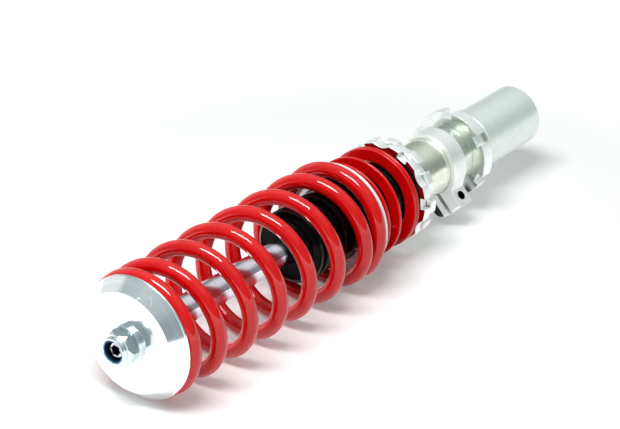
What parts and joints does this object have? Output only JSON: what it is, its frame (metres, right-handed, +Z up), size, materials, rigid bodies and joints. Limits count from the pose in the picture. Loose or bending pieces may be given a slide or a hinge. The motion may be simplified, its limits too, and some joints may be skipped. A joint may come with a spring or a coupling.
{
  "type": "coilover",
  "caption": "Coil spring and damper strut with a red main spring, a flat-wire helper spring, notched rings on a threaded tube that set the ride height, and a split bracket clamp.",
  "frame": {"origin": "on the strut's axis, halfway along the plain cylinder of the lower housing that the wheel knuckle clamps", "axes": "+X along the strut towards the rod's stud, +Z up as the strut lies, +Y to the side"},
  "size_m": [0.4805, 0.0922, 0.0916],
  "materials": {
    "zinc_plated_steel": "satin, faint green tint",
    "zinc_plated_thread": "satin, threaded",
    "turned_steel": "turned",
    "plated_ring": "bright, machined",
    "black_steel": "black oxide",
    "red_spring": "gloss powder coat",
    "black_plastic": "matte",
    "black_rubber": "matte",
    "turned_aluminium": "polished, turned",
    "bronze": "plain",
    "sintered_iron": "sintered",
    "chromed_rod": "polished",
    "white_plastic": "plain",
    "brown_plastic": "plain",
    "plated_nut": "bright zinc",
    "blue_nylon": "semi-gloss"
  },
  "bodies": {
    "housing": {"lower_housing": "zinc_plated_steel", "end_cap": "turned_steel", "cap_seal_ring": "black_rubber"},
    "tube": {"damper_tube": "zinc_plated_thread", "gland_nut": "black_steel", "rod_seal": "black_rubber", "rod_guide": "turned_aluminium", "guide_bush": "bronze", "inner_cylinder": "turned_steel", "base_valve": "sintered_iron", "bump_stop": "black_rubber"},
    "lower_ring": {"lower_lock_ring": "plated_ring"},
    "clamp": {"bracket_clamp": "plated_ring", "clamp_bolt": "black_steel"},
    "spring_stack": {"helper_spring": "red_spring", "dust_sleeve": "black_plastic"},
    "upper_ring": {"lock_ring": "plated_ring"},
    "perch": {"perch_ring": "plated_ring"},
    "separator": {"separator_ring": "turned_aluminium", "main_spring": "red_spring"},
    "rod": {"piston_rod": "chromed_rod", "rebound_stop": "white_plastic", "rebound_shims": "turned_steel", "piston": "sintered_iron", "piston_band": "brown_plastic", "compression_shims": "turned_steel", "piston_nut": "turned_steel", "upper_spring_seat": "turned_aluminium", "washers": "plated_nut", "top_nut": "plated_nut", "nylon_insert": "blue_nylon"}
  },
  "joints": [
    {"name": "body_thread", "type": "slide", "parent": "housing", "child": "tube", "axis": [1, 0, 0], "range_m": [0, 0.025]},
    {"name": "lower_ring_slide", "type": "slide", "parent": "tube", "child": "lower_ring", "axis": [1, 0, 0], "range_m": [-0.0125, 0]},
    {"name": "clamp_turn", "type": "hinge", "parent": "tube", "child": "clamp", "pos_m": [0, 0, 0], "axis": [1, 0, 0], "range_deg": [-180, 180]},
    {"name": "ride_height", "type": "slide", "parent": "tube", "child": "spring_stack", "axis": [1, 0, 0], "range_m": [-0.04, 0.005]},
    {"name": "perch_spin", "type": "hinge", "parent": "spring_stack", "child": "perch", "pos_m": [0, 0, 0], "axis": [1, 0, 0], "range_deg": [-7200, 900]},
    {"name": "lock_ring_slide", "type": "slide", "parent": "spring_stack", "child": "upper_ring", "axis": [1, 0, 0], "range_m": [-0.0025, 0]},
    {"name": "separator_slide", "type": "slide", "parent": "spring_stack", "child": "separator", "axis": [1, 0, 0], "range_m": [-0.037, 0]},
    {"name": "rod_slide", "type": "slide", "parent": "spring_stack", "child": "rod", "axis": [1, 0, 0], "range_m": [-0.1, 0], "stiffness_N_per_m": 25000, "deforming": ["helper_spring", "main_spring"]}
  ],
  "couplings": [
    {"joint": "ride_height", "follows": "perch_spin", "m_per_rad": 0.0003183},
    {"joint": "separator_slide", "follows": "rod_slide", "ratio": 0.37}
  ]
}
